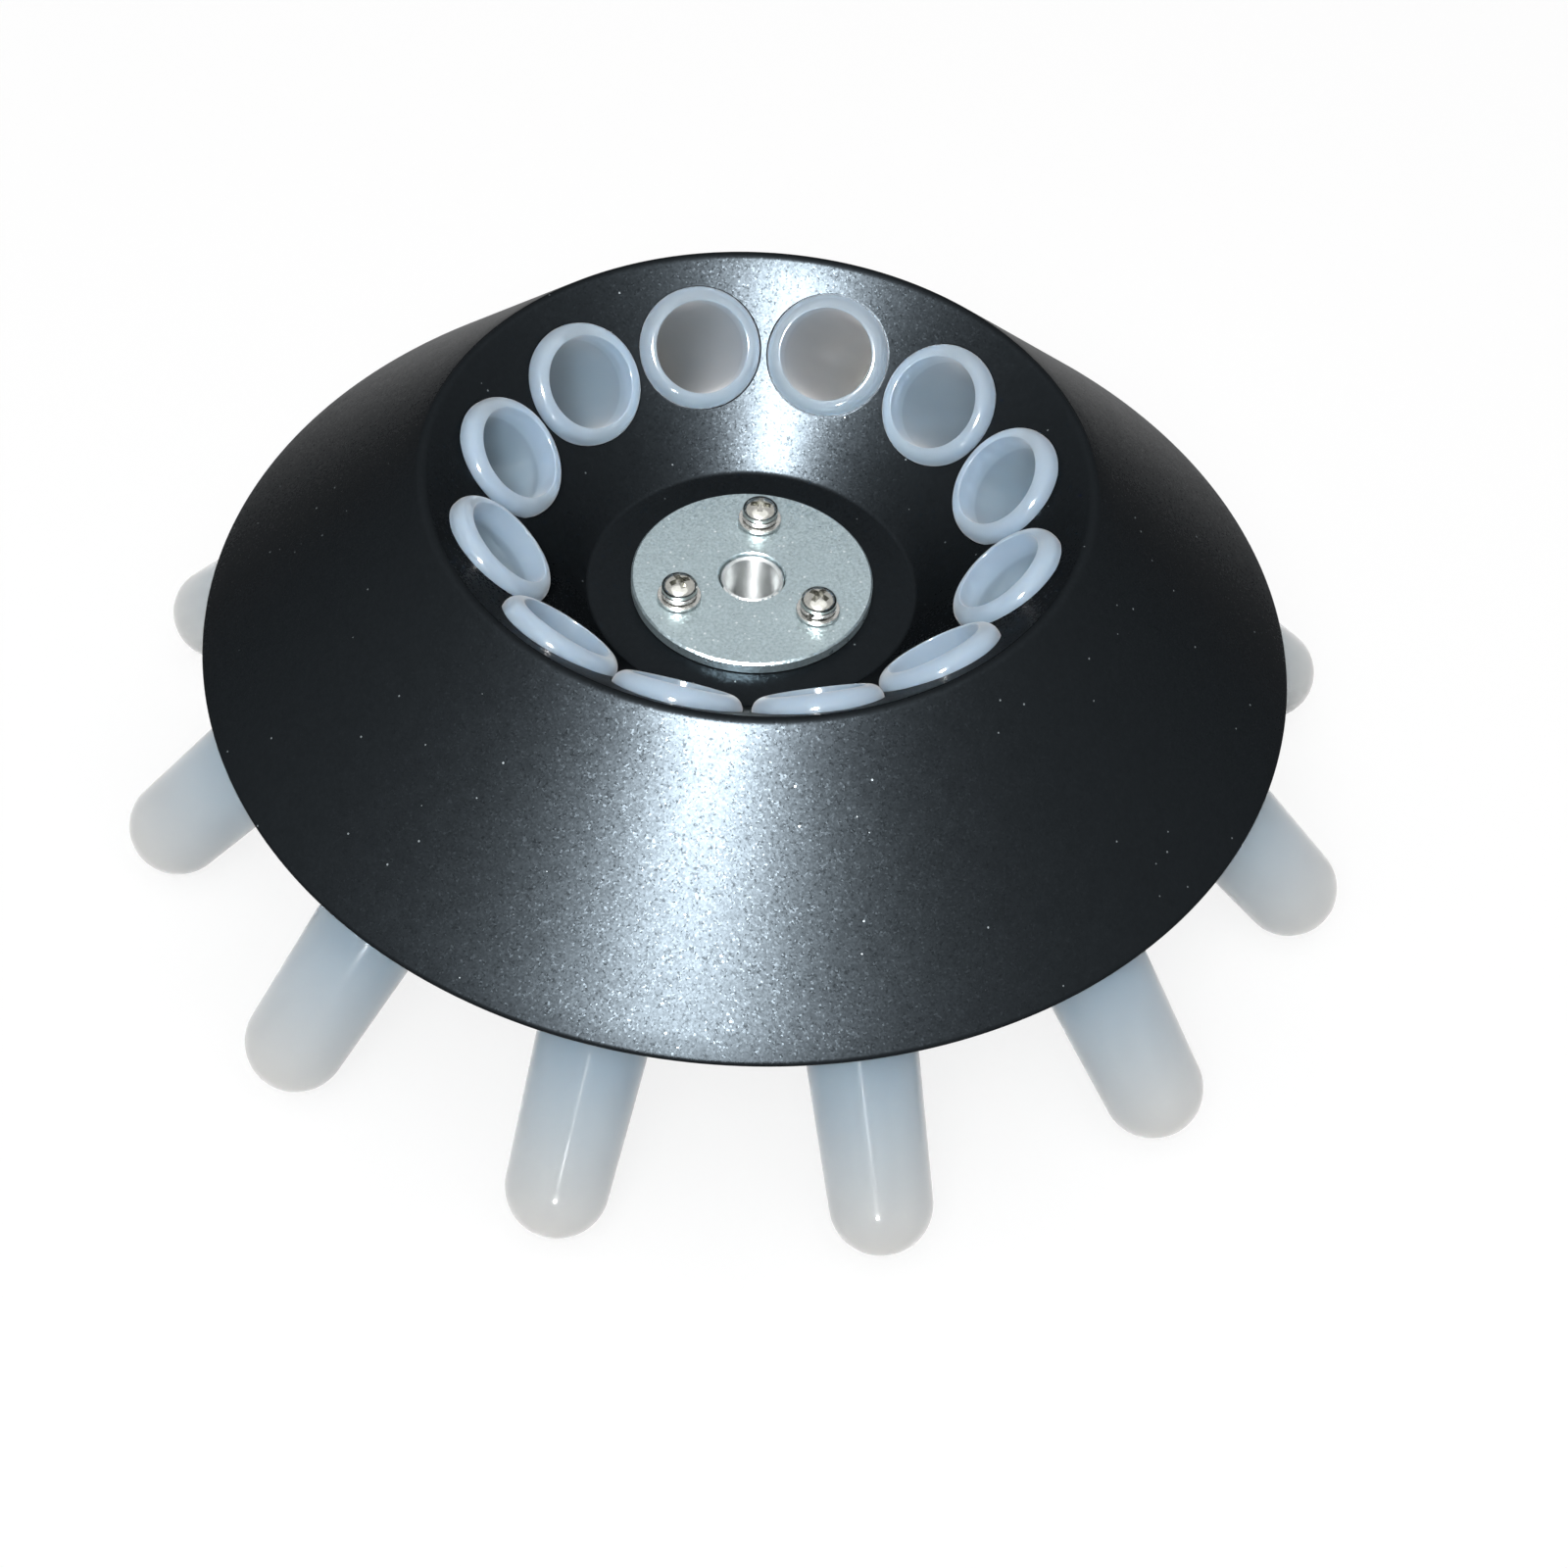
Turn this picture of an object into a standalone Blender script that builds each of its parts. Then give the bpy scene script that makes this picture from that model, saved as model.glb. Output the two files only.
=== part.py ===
"""Twelve-place angle rotor of a small benchtop centrifuge.

A cone-shaped head carries twelve plastic tube sleeves that lean outwards. A plate on the floor of its
bowl and a hub below that floor are drawn together by three screws, and the hub's bore seats on the
motor shaft. Lengths are in metres, +Z is up, and the origin is the centre of the hub's lower end, on
which the rotor stands. Bearings are measured from +Y, clockwise as seen from above.
"""

import math

import bmesh
import bpy
from mathutils import Matrix, Vector

# Counts and angles
SLEEVE_COUNT = 12
SLEEVE_LEAN_DEG = 45.0
SCREW_COUNT = 3
SCREW_BEARING_DEG = 3.5

# Clearances
SEAT_GAP = 0.0003
CUT_OVERRUN = 0.0005

# Tube sleeve: closed tube, flange and rounded lip
SLEEVE_LENGTH = 0.1078
SLEEVE_RADIUS = 0.0113
SLEEVE_WALL = 0.0015
UPPER_DRAFT = 0.00025
LOWER_DRAFT = 0.0008
TAPER_LENGTH = 0.028
COLLAR_OVERHANG = 0.00165
COLLAR_HEIGHT = 0.0039
FLANGE_HEIGHT = 0.0013
LIP_STEP = 0.00075
LIP_SIDE_HEIGHT = 0.0008
MOUTH_ROUND = 0.0007

# Head: bowl, rim and skirt
COLLAR_SPACING = 0.00168
SEAT_SINK = 0.0006
WALL_ABOVE_COLLAR = 0.0071
WALL_BELOW_COLLAR = 0.0141
BOWL_WALL = 0.0045
FLOOR_THICKNESS = 0.006
RIM_ROUND = 0.0016
SKIRT_SLANT = 0.0659
SKIRT_WALL = 0.0025
SKIRT_EDGE_ROUND = 0.0009

# Hub and plate
SHAFT_BORE_RADIUS = 0.0057
HUB_LIP = 0.00095
HUB_LIP_RECESS = 0.0005
HUB_CHAMFER = 0.0003
BOSS_WALL = 0.0083
BOSS_CHAMFER = 0.001
BOSS_BELOW_SLEEVES = 0.0016
FLANGE_EDGE_MARGIN = 0.0064
HUB_FLANGE_THICKNESS = 0.007
PLATE_EDGE_MARGIN = 0.0085
PLATE_THICKNESS = 0.0025
PLATE_CHAMFER = 0.0006

# Screws and washers
SCREW_CIRCLE_RADIUS = 0.0165
SHANK_RADIUS = 0.0019
SHANK_LENGTH = 0.0155
HEAD_OVERHANG = 0.0018
HEAD_HEIGHT = 0.0025
HEAD_SIDE_HEIGHT = 0.0008
RECESS_SPAN = 0.0042
RECESS_WIDTH = 0.0011
RECESS_DEPTH = 0.0014
RECESS_FLOOR_SHARE = 0.55
SPRING_WASHER_BAND = 0.0015
SPRING_WASHER_THICKNESS = 0.0009
SPRING_WASHER_SPLIT = 0.0008
FLAT_WASHER_BAND = 0.0023
FLAT_WASHER_THICKNESS = 0.0008

# Mesh fineness
HEAD_SEGMENTS = 72
SLEEVE_SEGMENTS = 18
HOLE_SEGMENTS = 20
HUB_SEGMENTS = 40
PLATE_SEGMENTS = 60
FASTENER_SEGMENTS = 16
ARC_STEPS = 3

# Sleeve sizes worked out from the above
BORE_RADIUS = SLEEVE_RADIUS - SLEEVE_WALL
TAPER_RADIUS = SLEEVE_RADIUS - UPPER_DRAFT
TIP_RADIUS = TAPER_RADIUS - LOWER_DRAFT
TIP_CENTRE = TIP_RADIUS - SLEEVE_LENGTH
COLLAR_RADIUS = SLEEVE_RADIUS + COLLAR_OVERHANG
LIP_RADIUS = COLLAR_RADIUS - LIP_STEP

# Directions in a plane through the rotor's axis, as radius and height
LEAN = math.radians(SLEEVE_LEAN_DEG)
HALF_PITCH = math.pi / SLEEVE_COUNT
DOWN_SLEEVE = Vector((math.sin(LEAN), -math.cos(LEAN)))
UP_WALL = Vector((math.cos(LEAN), math.sin(LEAN)))

# The seats lie on the smallest circle that keeps the collars apart at the top of their flanges
COLLAR_REACH = COLLAR_RADIUS * math.sqrt(1 - (math.sin(LEAN) * math.sin(HALF_PITCH)) ** 2)
FLANGE_RISE = FLANGE_HEIGHT + SEAT_GAP - SEAT_SINK
SEAT_RADIUS = (COLLAR_SPACING / 2 + COLLAR_REACH) / math.sin(HALF_PITCH) + FLANGE_RISE * math.sin(LEAN)
SEAT_HEIGHT = (
    BOSS_BELOW_SLEEVES + TIP_RADIUS + (SEAT_SINK - SEAT_GAP - TIP_CENTRE) * math.cos(LEAN)
)
SEAT = Vector((SEAT_RADIUS, SEAT_HEIGHT))
UNDERSIDE_OF_FLANGE = SEAT + DOWN_SLEEVE * (SEAT_SINK - SEAT_GAP)

# Head outline corners, as radius and height
FLOOR_CORNER = SEAT - UP_WALL * (COLLAR_RADIUS + WALL_BELOW_COLLAR)
APEX = SEAT + UP_WALL * (COLLAR_RADIUS + WALL_ABOVE_COLLAR)
SKIRT_EDGE = APEX + DOWN_SLEEVE * SKIRT_SLANT
FLOOR_TOP = FLOOR_CORNER.y
FLOOR_UNDERSIDE = FLOOR_TOP - FLOOR_THICKNESS

# Hub, plate and screw levels
HUB_LIP_RADIUS = SHAFT_BORE_RADIUS + HUB_LIP
CENTRE_HOLE_RADIUS = HUB_LIP_RADIUS + SEAT_GAP
BOSS_RADIUS = SHAFT_BORE_RADIUS + BOSS_WALL
HUB_FLANGE_RADIUS = SCREW_CIRCLE_RADIUS + FLANGE_EDGE_MARGIN
HUB_FLANGE_TOP = FLOOR_UNDERSIDE - SEAT_GAP
PLATE_RADIUS = SCREW_CIRCLE_RADIUS + PLATE_EDGE_MARGIN
PLATE_UNDERSIDE = FLOOR_TOP + SEAT_GAP
PLATE_TOP = PLATE_UNDERSIDE + PLATE_THICKNESS
FLAT_WASHER_BASE = PLATE_TOP + SEAT_GAP
SPRING_WASHER_BASE = FLAT_WASHER_BASE + FLAT_WASHER_THICKNESS + SEAT_GAP
HEAD_BASE = SPRING_WASHER_BASE + SPRING_WASHER_THICKNESS + SEAT_GAP
SCREW_HOLE_RADIUS = SHANK_RADIUS + SEAT_GAP
HEAD_RADIUS = SHANK_RADIUS + HEAD_OVERHANG


def clear_scene():
    for found in list(bpy.data.objects):
        bpy.data.objects.remove(found, do_unlink=True)


def make_material(name, colour, roughness, metallic):
    material = bpy.data.materials.new(name)
    material.use_nodes = True
    shader = material.node_tree.nodes["Principled BSDF"]
    shader.inputs["Base Color"].default_value = (*colour, 1.0)
    shader.inputs["Roughness"].default_value = roughness
    shader.inputs["Metallic"].default_value = metallic
    return material


def add_object(name, mesh, material=None):
    made = bpy.data.objects.new(name, mesh)
    bpy.context.scene.collection.objects.link(made)
    if material:
        mesh.materials.append(material)
    return made


def arc(centre, start, end, steps):
    """Points of a quarter ellipse about centre, from centre + start to centre + end."""
    turns = [math.pi / 2 * step / steps for step in range(steps + 1)]
    return [centre + start * math.cos(turn) + end * math.sin(turn) for turn in turns]


def turn_ring(mesh, radius, height, segments):
    """One ring of vertices, or a single vertex where the outline meets the axis."""
    if radius == 0:
        return [mesh.verts.new((0, 0, height))]
    angles = [math.tau * step / segments for step in range(segments)]
    return [mesh.verts.new((radius * math.cos(a), radius * math.sin(a), height)) for a in angles]


def add_turned(mesh, outline, segments, placement=None):
    """Turn an outline of (radius, height) points about Z, closed either on the axis or on itself."""
    rings = [turn_ring(mesh, radius, height, segments) for radius, height in outline]
    pairs = list(zip(rings, rings[1:]))
    if len(rings[0]) > 1:
        pairs.append((rings[-1], rings[0]))
    for lower, upper in pairs:
        for step in range(segments):
            following = (step + 1) % segments
            corners = [lower[step % len(lower)], lower[following % len(lower)]]
            corners += [upper[following % len(upper)], upper[step % len(upper)]]
            mesh.faces.new(list(dict.fromkeys(corners)))
    if placement:
        bmesh.ops.transform(mesh, matrix=placement, verts=[v for ring in rings for v in ring])


def finish_mesh(name, mesh, sharp_deg=35.0):
    bmesh.ops.recalc_face_normals(mesh, faces=mesh.faces)
    data = bpy.data.meshes.new(name)
    mesh.to_mesh(data)
    mesh.free()
    data.shade_smooth()
    data.set_sharp_from_angle(angle=math.radians(sharp_deg))
    return data


def turned(name, outline, segments, material=None):
    mesh = bmesh.new()
    add_turned(mesh, outline, segments)
    return add_object(name, finish_mesh(name, mesh), material)


def cut(target, name, mesh):
    """Cut the closed bodies in mesh out of target."""
    cutter = add_object(name, finish_mesh(name, mesh))
    cutter.hide_render = True
    cutter.display_type = "WIRE"
    modifier = target.modifiers.new(name, "BOOLEAN")
    modifier.operation = "DIFFERENCE"
    modifier.solver = "EXACT"
    modifier.object = cutter


def bearing_matrix(bearing):
    return Matrix.Rotation(-bearing, 4, "Z")


def sleeve_matrix(index):
    """The frame of a sleeve, with its origin under its flange and +Z out of its mouth."""
    bearing = HALF_PITCH * (2 * index + 1)
    out = Matrix.Translation((0, UNDERSIDE_OF_FLANGE.x, UNDERSIDE_OF_FLANGE.y))
    return bearing_matrix(bearing) @ out @ Matrix.Rotation(LEAN, 4, "X")


def screw_matrix(index):
    bearing = math.radians(SCREW_BEARING_DEG) + math.tau * index / SCREW_COUNT
    return bearing_matrix(bearing) @ Matrix.Translation((0, SCREW_CIRCLE_RADIUS, 0))


def rod(radius, bottom, top):
    return [(0, bottom), (radius, bottom), (radius, top), (0, top)]


def sleeve_outline():
    """The sleeve's outline in its own frame, from the tip up its outside and down its bore."""
    wall_in = Vector((-SLEEVE_WALL, 0))
    taper = Vector((TAPER_RADIUS, TIP_CENTRE + TAPER_LENGTH))
    tip_arc = arc(Vector((0, TIP_CENTRE)), Vector((0, -TIP_RADIUS)), Vector((TIP_RADIUS, 0)), ARC_STEPS)
    lip_side = FLANGE_HEIGHT + LIP_SIDE_HEIGHT
    crest = Vector((BORE_RADIUS + MOUTH_ROUND, lip_side))
    lip_arc = arc(
        crest,
        Vector((LIP_RADIUS - crest.x, 0)),
        Vector((0, COLLAR_HEIGHT - lip_side)),
        ARC_STEPS,
    )
    bore_end = TIP_RADIUS - SLEEVE_WALL
    end_arc = arc(Vector((0, TIP_CENTRE)), Vector((bore_end, 0)), Vector((0, -bore_end)), ARC_STEPS)
    outline = [*tip_arc, taper, Vector((SLEEVE_RADIUS, 0)), Vector((COLLAR_RADIUS, 0))]
    outline += [Vector((COLLAR_RADIUS, FLANGE_HEIGHT)), Vector((LIP_RADIUS, FLANGE_HEIGHT))]
    outline += [*lip_arc, Vector((BORE_RADIUS, COLLAR_HEIGHT - MOUTH_ROUND)), taper + wall_in, *end_arc]
    outline[0].x = 0
    outline[-1].x = 0
    return outline


def make_sleeves():
    plastic = make_material("sleeve_plastic", (0.62, 0.70, 0.76), 0.25, 0.0)
    mesh = bmesh.new()
    add_turned(mesh, sleeve_outline(), SLEEVE_SEGMENTS)
    shared = finish_mesh("tube_sleeve", mesh)
    shared.materials.append(plastic)
    for index in range(SLEEVE_COUNT):
        sleeve = add_object(f"tube_sleeve_{index + 1:02d}", shared)
        sleeve.matrix_world = sleeve_matrix(index)


def head_outline():
    """The head's outline from the centre hole over the bowl and rim to the skirt, and back under."""
    rim_centre = APEX + (DOWN_SLEEVE - UP_WALL) * RIM_ROUND
    rim = arc(rim_centre, -DOWN_SLEEVE * RIM_ROUND, UP_WALL * RIM_ROUND, ARC_STEPS)
    edge_in = -UP_WALL * SKIRT_EDGE_ROUND
    edge_up = -DOWN_SLEEVE * SKIRT_EDGE_ROUND
    inner_edge = SKIRT_EDGE - UP_WALL * SKIRT_WALL
    outer_round = arc(SKIRT_EDGE + edge_in + edge_up, -edge_in, -edge_up, ARC_STEPS - 1)
    inner_round = arc(inner_edge - edge_in + edge_up, -edge_up, edge_in, ARC_STEPS - 1)
    below_apex = APEX + DOWN_SLEEVE * BOWL_WALL - UP_WALL * SKIRT_WALL
    run = (math.cos(LEAN) * BOWL_WALL - FLOOR_THICKNESS) / math.sin(LEAN)
    below_corner = FLOOR_CORNER + DOWN_SLEEVE * BOWL_WALL + UP_WALL * run
    hole = [Vector((CENTRE_HOLE_RADIUS, FLOOR_UNDERSIDE)), Vector((CENTRE_HOLE_RADIUS, FLOOR_TOP))]
    return [*hole, FLOOR_CORNER, *rim, *outer_round, *inner_round, below_apex, below_corner]


def make_head():
    coating = make_material("black_powder_coat", (0.018, 0.022, 0.024), 0.42, 0.0)
    head = turned("rotor_head", head_outline(), HEAD_SEGMENTS, coating)

    # Each sleeve has a clear hole through the bowl's wall and a flat seat sunk round it
    hole_radius = SLEEVE_RADIUS + SEAT_GAP
    seat_radius = COLLAR_RADIUS + SEAT_GAP
    wall_rise = seat_radius**2 * math.cos(LEAN) / (2 * SEAT_RADIUS)
    seat_top = SEAT_SINK + wall_rise + CUT_OVERRUN
    through = -(BOWL_WALL + wall_rise + CUT_OVERRUN)
    seat_hole = [
        (0, through),
        (hole_radius, through),
        (hole_radius, -SEAT_GAP),
        (seat_radius, -SEAT_GAP),
        (seat_radius, seat_top),
        (0, seat_top),
    ]
    mesh = bmesh.new()
    for index in range(SLEEVE_COUNT):
        add_turned(mesh, seat_hole, HOLE_SEGMENTS, sleeve_matrix(index))
    cut(head, "sleeve_seats", mesh)

    floor_hole = rod(SCREW_HOLE_RADIUS, FLOOR_UNDERSIDE - CUT_OVERRUN, FLOOR_TOP + CUT_OVERRUN)
    mesh = bmesh.new()
    for index in range(SCREW_COUNT):
        add_turned(mesh, floor_hole, FASTENER_SEGMENTS, screw_matrix(index))
    cut(head, "floor_screw_holes", mesh)


def make_plate():
    anodised = make_material("anodised_plate", (0.40, 0.47, 0.50), 0.35, 1.0)
    outline = [
        (CENTRE_HOLE_RADIUS, PLATE_UNDERSIDE),
        (PLATE_RADIUS, PLATE_UNDERSIDE),
        (PLATE_RADIUS, PLATE_TOP - PLATE_CHAMFER),
        (PLATE_RADIUS - PLATE_CHAMFER, PLATE_TOP),
        (CENTRE_HOLE_RADIUS, PLATE_TOP),
    ]
    plate = turned("hub_plate", outline, PLATE_SEGMENTS, anodised)
    hole = rod(SCREW_HOLE_RADIUS, PLATE_UNDERSIDE - CUT_OVERRUN, PLATE_TOP + CUT_OVERRUN)
    mesh = bmesh.new()
    for index in range(SCREW_COUNT):
        add_turned(mesh, hole, FASTENER_SEGMENTS, screw_matrix(index))
    cut(plate, "plate_screw_holes", mesh)


def make_hub():
    turned_metal = make_material("turned_hub", (0.62, 0.64, 0.65), 0.25, 1.0)
    lip_top = PLATE_TOP - HUB_LIP_RECESS
    flange_underside = HUB_FLANGE_TOP - HUB_FLANGE_THICKNESS
    outline = [
        (SHAFT_BORE_RADIUS + HUB_CHAMFER, 0),
        (BOSS_RADIUS - BOSS_CHAMFER, 0),
        (BOSS_RADIUS, BOSS_CHAMFER),
        (BOSS_RADIUS, flange_underside),
        (HUB_FLANGE_RADIUS - BOSS_CHAMFER, flange_underside),
        (HUB_FLANGE_RADIUS, flange_underside + BOSS_CHAMFER),
        (HUB_FLANGE_RADIUS, HUB_FLANGE_TOP),
        (HUB_LIP_RADIUS, HUB_FLANGE_TOP),
        (HUB_LIP_RADIUS, lip_top - HUB_CHAMFER),
        (HUB_LIP_RADIUS - HUB_CHAMFER, lip_top),
        (SHAFT_BORE_RADIUS + HUB_CHAMFER, lip_top),
        (SHAFT_BORE_RADIUS, lip_top - HUB_CHAMFER),
        (SHAFT_BORE_RADIUS, HUB_CHAMFER),
    ]
    hub = turned("shaft_hub", outline, HUB_SEGMENTS, turned_metal)
    hole = rod(SCREW_HOLE_RADIUS, flange_underside - CUT_OVERRUN, HUB_FLANGE_TOP + CUT_OVERRUN)
    mesh = bmesh.new()
    for index in range(SCREW_COUNT):
        add_turned(mesh, hole, FASTENER_SEGMENTS, screw_matrix(index))
    cut(hub, "hub_screw_holes", mesh)


def cross_outline(span, width):
    """The twelve corners of a cross, anticlockwise."""
    reach = span / 2
    half = width / 2
    arm = [(reach, -half), (reach, half), (half, half)]
    turns = [Matrix.Rotation(math.pi / 2 * quarter, 2) for quarter in range(4)]
    return [turn @ Vector(point) for turn in turns for point in arm]


def add_recess(mesh, bottom, mouth, top):
    """A cross that narrows from its mouth to its floor, and runs straight above the mouth."""
    floor = cross_outline(RECESS_SPAN * RECESS_FLOOR_SHARE, RECESS_WIDTH * RECESS_FLOOR_SHARE)
    full = cross_outline(RECESS_SPAN, RECESS_WIDTH)
    levels = [(floor, bottom), (full, mouth), (full, top)]
    rings = [[mesh.verts.new((*point, height)) for point in points] for points, height in levels]
    count = len(full)
    for lower, upper in zip(rings, rings[1:]):
        for step in range(count):
            following = (step + 1) % count
            mesh.faces.new((lower[step], lower[following], upper[following], upper[step]))
    mesh.faces.new(rings[0])
    mesh.faces.new(rings[-1])


def make_screws(steel):
    head_top = HEAD_BASE + HEAD_HEIGHT
    side_top = HEAD_BASE + HEAD_SIDE_HEIGHT
    dome = arc(
        Vector((0, side_top)),
        Vector((HEAD_RADIUS, 0)),
        Vector((0, HEAD_HEIGHT - HEAD_SIDE_HEIGHT)),
        ARC_STEPS + 1,
    )
    dome[-1].x = 0
    end = HEAD_BASE - SHANK_LENGTH
    end_chamfer = SHANK_RADIUS / 4
    outline = [(0, end), (SHANK_RADIUS - end_chamfer, end), (SHANK_RADIUS, end + end_chamfer)]
    outline += [(SHANK_RADIUS, HEAD_BASE), (HEAD_RADIUS, HEAD_BASE), *dome]
    for index in range(SCREW_COUNT):
        screw = turned(f"hub_screw_{index + 1}", outline, FASTENER_SEGMENTS, steel)
        mesh = bmesh.new()
        add_recess(mesh, head_top - RECESS_DEPTH, head_top, head_top + CUT_OVERRUN)
        cut(screw, f"recess_{index + 1}", mesh)
        recess = bpy.data.objects[f"recess_{index + 1}"]
        screw.matrix_world = screw_matrix(index)
        recess.matrix_world = screw_matrix(index)


def make_flat_washers(steel):
    inner = SCREW_HOLE_RADIUS
    outer = inner + FLAT_WASHER_BAND
    top = FLAT_WASHER_BASE + FLAT_WASHER_THICKNESS
    outline = [(inner, FLAT_WASHER_BASE), (outer, FLAT_WASHER_BASE), (outer, top), (inner, top)]
    for index in range(SCREW_COUNT):
        washer = turned(f"flat_washer_{index + 1}", outline, FASTENER_SEGMENTS, steel)
        washer.matrix_world = screw_matrix(index)


def spring_washer_mesh():
    """An open ring of square section whose ends are cut on a slant."""
    inner = SCREW_HOLE_RADIUS
    outer = inner + SPRING_WASHER_BAND
    top = SPRING_WASHER_BASE + SPRING_WASHER_THICKNESS
    split = SPRING_WASHER_SPLIT / inner
    slant = SPRING_WASHER_THICKNESS / outer
    section = [(inner, SPRING_WASHER_BASE, 0), (outer, SPRING_WASHER_BASE, 0)]
    section += [(outer, top, slant), (inner, top, slant)]
    mesh = bmesh.new()
    rings = []
    for step in range(FASTENER_SEGMENTS + 1):
        angle = split / 2 + (math.tau - split) * step / FASTENER_SEGMENTS
        points = [(r * math.cos(angle + lead), r * math.sin(angle + lead), z) for r, z, lead in section]
        rings.append([mesh.verts.new(point) for point in points])
    for before, after in zip(rings, rings[1:]):
        for side in range(len(section)):
            following = (side + 1) % len(section)
            mesh.faces.new((before[side], before[following], after[following], after[side]))
    mesh.faces.new(rings[0])
    mesh.faces.new(rings[-1])
    return finish_mesh("spring_washer", mesh)


def make_spring_washers(steel):
    for index in range(SCREW_COUNT):
        washer = add_object(f"spring_washer_{index + 1}", spring_washer_mesh(), steel)
        washer.matrix_world = screw_matrix(index)


def main():
    clear_scene()
    make_head()
    make_hub()
    make_plate()
    make_flat_washers(make_material("washer_steel", (0.60, 0.60, 0.58), 0.30, 1.0))
    make_spring_washers(make_material("spring_steel", (0.52, 0.52, 0.50), 0.35, 1.0))
    make_screws(make_material("plated_screw", (0.66, 0.65, 0.62), 0.22, 1.0))
    make_sleeves()


main()
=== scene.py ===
"""Looks of the twelve-place angle rotor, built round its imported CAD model.

Every hard piece is modelled again with a finer mesh at the same size and place as its CAD solid. Lengths
are in metres, +Z is up, and the origin is the centre of the hub's lower end. Bearings are measured from +Y,
clockwise as seen from above.
"""

import math

import bmesh
import bpy
from mathutils import Matrix, Vector


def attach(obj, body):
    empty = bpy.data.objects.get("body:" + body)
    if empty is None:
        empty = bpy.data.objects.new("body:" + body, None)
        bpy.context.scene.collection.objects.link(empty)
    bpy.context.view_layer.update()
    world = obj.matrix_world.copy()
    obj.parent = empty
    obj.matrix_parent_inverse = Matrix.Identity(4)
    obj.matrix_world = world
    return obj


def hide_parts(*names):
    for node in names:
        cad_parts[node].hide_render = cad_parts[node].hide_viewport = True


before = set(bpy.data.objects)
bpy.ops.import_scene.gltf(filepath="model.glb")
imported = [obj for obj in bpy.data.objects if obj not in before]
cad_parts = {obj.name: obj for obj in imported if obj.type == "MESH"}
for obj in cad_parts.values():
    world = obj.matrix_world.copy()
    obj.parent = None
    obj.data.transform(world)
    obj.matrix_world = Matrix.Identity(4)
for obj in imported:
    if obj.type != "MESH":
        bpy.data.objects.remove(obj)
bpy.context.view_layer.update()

# Counts and angles of the rotor
SLEEVE_COUNT = 12
SLEEVE_LEAN = math.radians(45.0)
SCREW_COUNT = 3
SCREW_BEARING = math.radians(3.5)
HALF_PITCH = math.pi / SLEEVE_COUNT

# Clearances
SEAT_GAP = 0.0003
CUT_OVERRUN = 0.0005

# Tube sleeve
SLEEVE_LENGTH = 0.1078
TIP_ALLOWANCE = 0.0005
SLEEVE_RADIUS = 0.0113
SLEEVE_WALL = 0.0015
UPPER_DRAFT = 0.00025
LOWER_DRAFT = 0.0008
TAPER_LENGTH = 0.028
COLLAR_RADIUS = 0.01295
COLLAR_HEIGHT = 0.0039
FLANGE_HEIGHT = 0.0013
FLANGE_ROUND = 0.0003
FLANGE_SIDE = 0.0010
MOUTH_ROUND = 0.00025
# Depths from the mouth where the sleeve's colour changes: painted light on the collar ends, then painted
# shade below it fades to the tip's grey
LIT_COLLAR_DEPTH = 0.0058
LIT_COLLAR_BLEND = 0.0008
SHADED_BLUE_DEPTH = 0.07
GREY_DEPTH = 0.11
NUB_OUTLINE = ((0.0010, 0.0001), (0.0009, 0.0005), (0.0005, 0.0007), (0, 0.0007))
NUB_REACH = 0.0011
BORE_RADIUS = SLEEVE_RADIUS - SLEEVE_WALL
TAPER_RADIUS = SLEEVE_RADIUS - UPPER_DRAFT
TIP_RADIUS = TAPER_RADIUS - LOWER_DRAFT
TIP_CENTRE = TIP_RADIUS - SLEEVE_LENGTH

# Head, in a plane through the rotor's axis, as radius and height
SEAT_SINK = 0.0006
WALL_ABOVE_COLLAR = 0.0071
WALL_BELOW_COLLAR = 0.0141
BOWL_WALL = 0.0045
FLOOR_THICKNESS = 0.006
RIM_ROUND = 0.00175
FLOOR_CORNER_ROUND = 0.0006
UNDERSIDE_ROUND = 0.002
SKIRT_SLANT = 0.0659
SKIRT_WALL = 0.0025
SKIRT_EDGE_ROUND = 0.0012
COLLAR_SPACING = 0.00168
BOSS_BELOW_SLEEVES = 0.0016

DOWN_SLEEVE = Vector((math.sin(SLEEVE_LEAN), -math.cos(SLEEVE_LEAN)))
UP_WALL = Vector((math.cos(SLEEVE_LEAN), math.sin(SLEEVE_LEAN)))
COLLAR_REACH = COLLAR_RADIUS * math.sqrt(1 - (math.sin(SLEEVE_LEAN) * math.sin(HALF_PITCH)) ** 2)
FLANGE_RISE = FLANGE_HEIGHT + SEAT_GAP - SEAT_SINK
SEAT = Vector((
    (COLLAR_SPACING / 2 + COLLAR_REACH) / math.sin(HALF_PITCH) + FLANGE_RISE * math.sin(SLEEVE_LEAN),
    BOSS_BELOW_SLEEVES + TIP_RADIUS + (SEAT_SINK - SEAT_GAP - TIP_CENTRE) * math.cos(SLEEVE_LEAN),
))
UNDERSIDE_OF_FLANGE = SEAT + DOWN_SLEEVE * (SEAT_SINK - SEAT_GAP)
FLOOR_CORNER = SEAT - UP_WALL * (COLLAR_RADIUS + WALL_BELOW_COLLAR)
APEX = SEAT + UP_WALL * (COLLAR_RADIUS + WALL_ABOVE_COLLAR)
SKIRT_EDGE = APEX + DOWN_SLEEVE * SKIRT_SLANT
FLOOR_TOP = FLOOR_CORNER.y
FLOOR_UNDERSIDE = FLOOR_TOP - FLOOR_THICKNESS

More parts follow.
